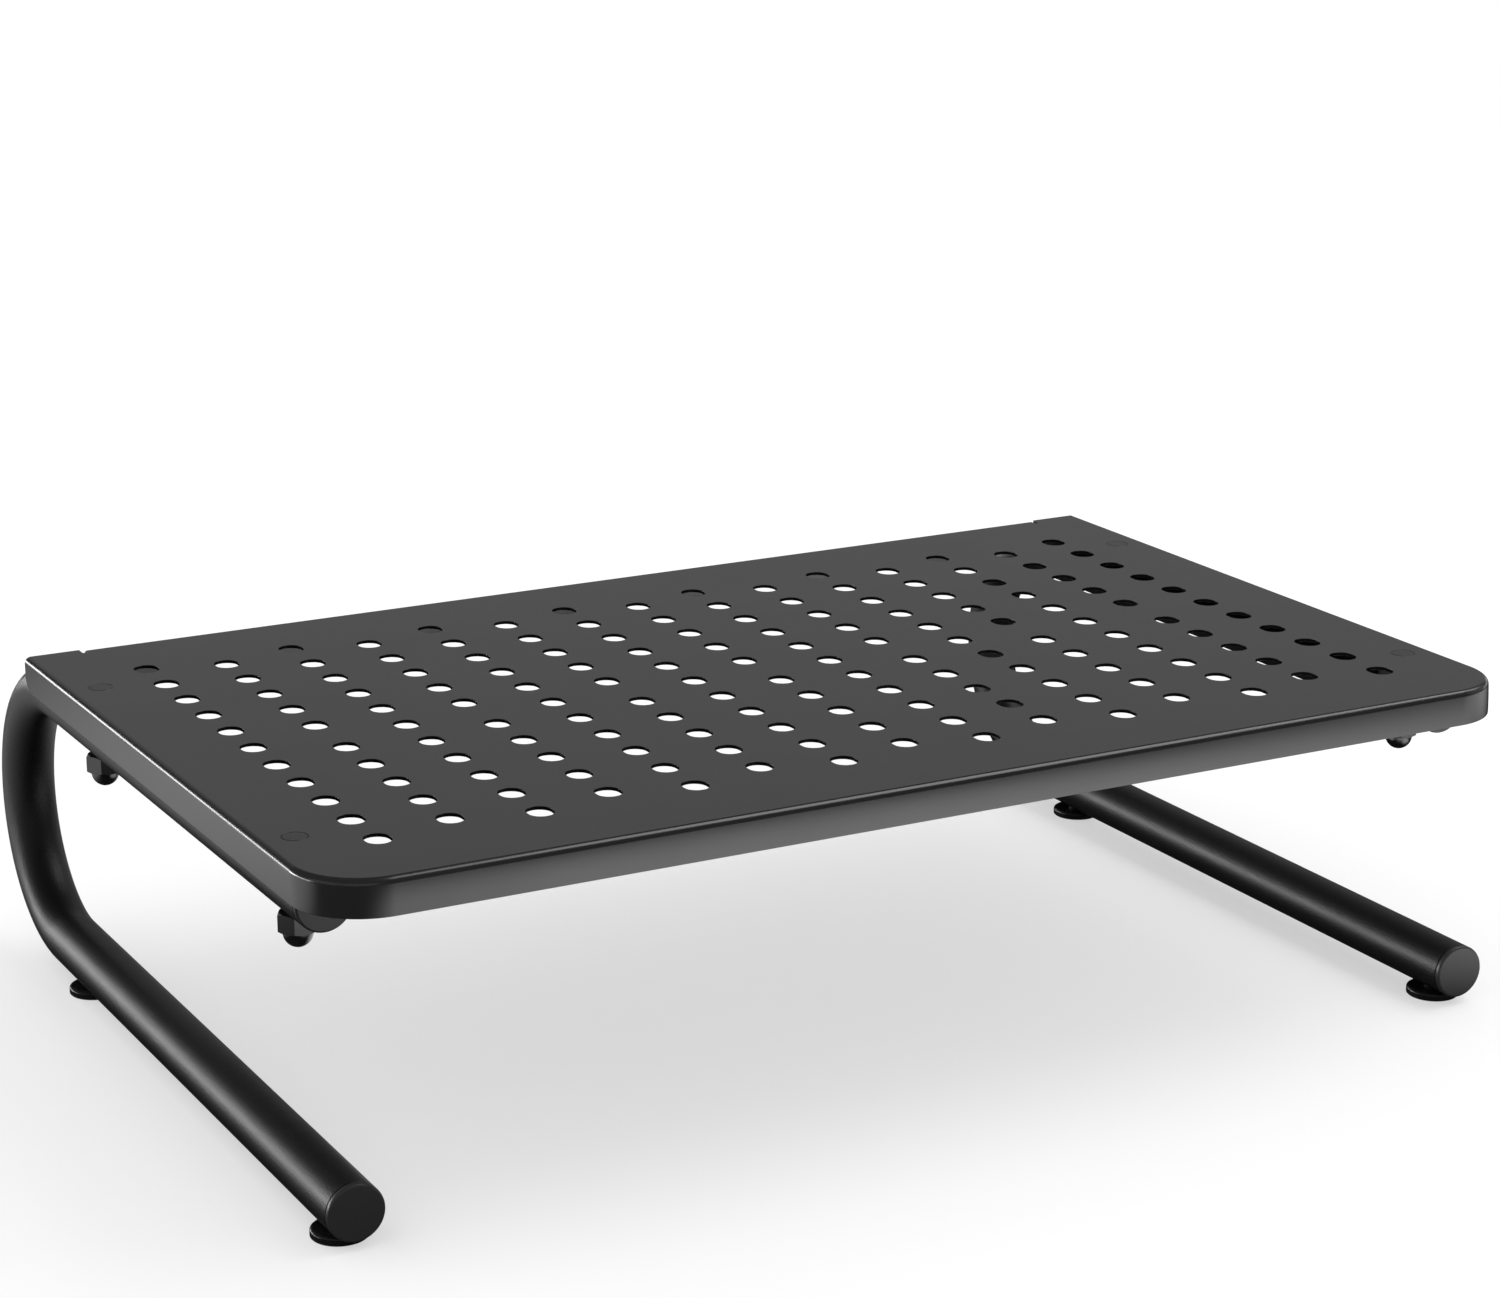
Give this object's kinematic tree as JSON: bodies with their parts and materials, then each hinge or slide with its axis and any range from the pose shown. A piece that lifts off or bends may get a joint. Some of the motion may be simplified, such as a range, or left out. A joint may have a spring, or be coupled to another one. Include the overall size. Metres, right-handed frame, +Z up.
{
  "type": "monitor riser stand",
  "caption": "Low desk stand for a monitor: a perforated, folded sheet-steel deck bolted on two C-shaped tube legs with rubber feet.",
  "frame": {"origin": "on the desk surface, under the middle of the stand's outline", "axes": "+X to the right along the deck's long side, +Y to the back where the legs bend, +Z up"},
  "size_m": [0.37, 0.275, 0.1],
  "materials": {
    "deck_coat": "black powder coat, fine grained, with a low sheen that reads dark grey",
    "stud_coat": "the deck's powder coat over a flush steel head",
    "spacer_plastic": "moulded black plastic",
    "leg_paint": "satin black powder coat",
    "nut_black": "smooth glossy black",
    "plug_plastic": "satin black moulded plastic",
    "foot_rubber": "smooth black rubber"
  },
  "bodies": {
    "root": {"deck": "deck_coat", "stud_front_left": "stud_coat", "stud_back_left": "stud_coat", "stud_front_right": "stud_coat", "stud_back_right": "stud_coat", "spacer_front_left": "spacer_plastic", "spacer_back_left": "spacer_plastic", "spacer_front_right": "spacer_plastic", "spacer_back_right": "spacer_plastic", "leg_left": "leg_paint", "leg_right": "leg_paint", "cap_nut_front_left": "nut_black", "cap_nut_back_left": "nut_black", "cap_nut_front_right": "nut_black", "cap_nut_back_right": "nut_black", "end_plug_upper_left": "plug_plastic", "end_plug_lower_left": "plug_plastic", "end_plug_upper_right": "plug_plastic", "end_plug_lower_right": "plug_plastic", "foot_front_left": "foot_rubber", "foot_back_left": "foot_rubber", "foot_front_right": "foot_rubber", "foot_back_right": "foot_rubber"}
  },
  "joints": []
}
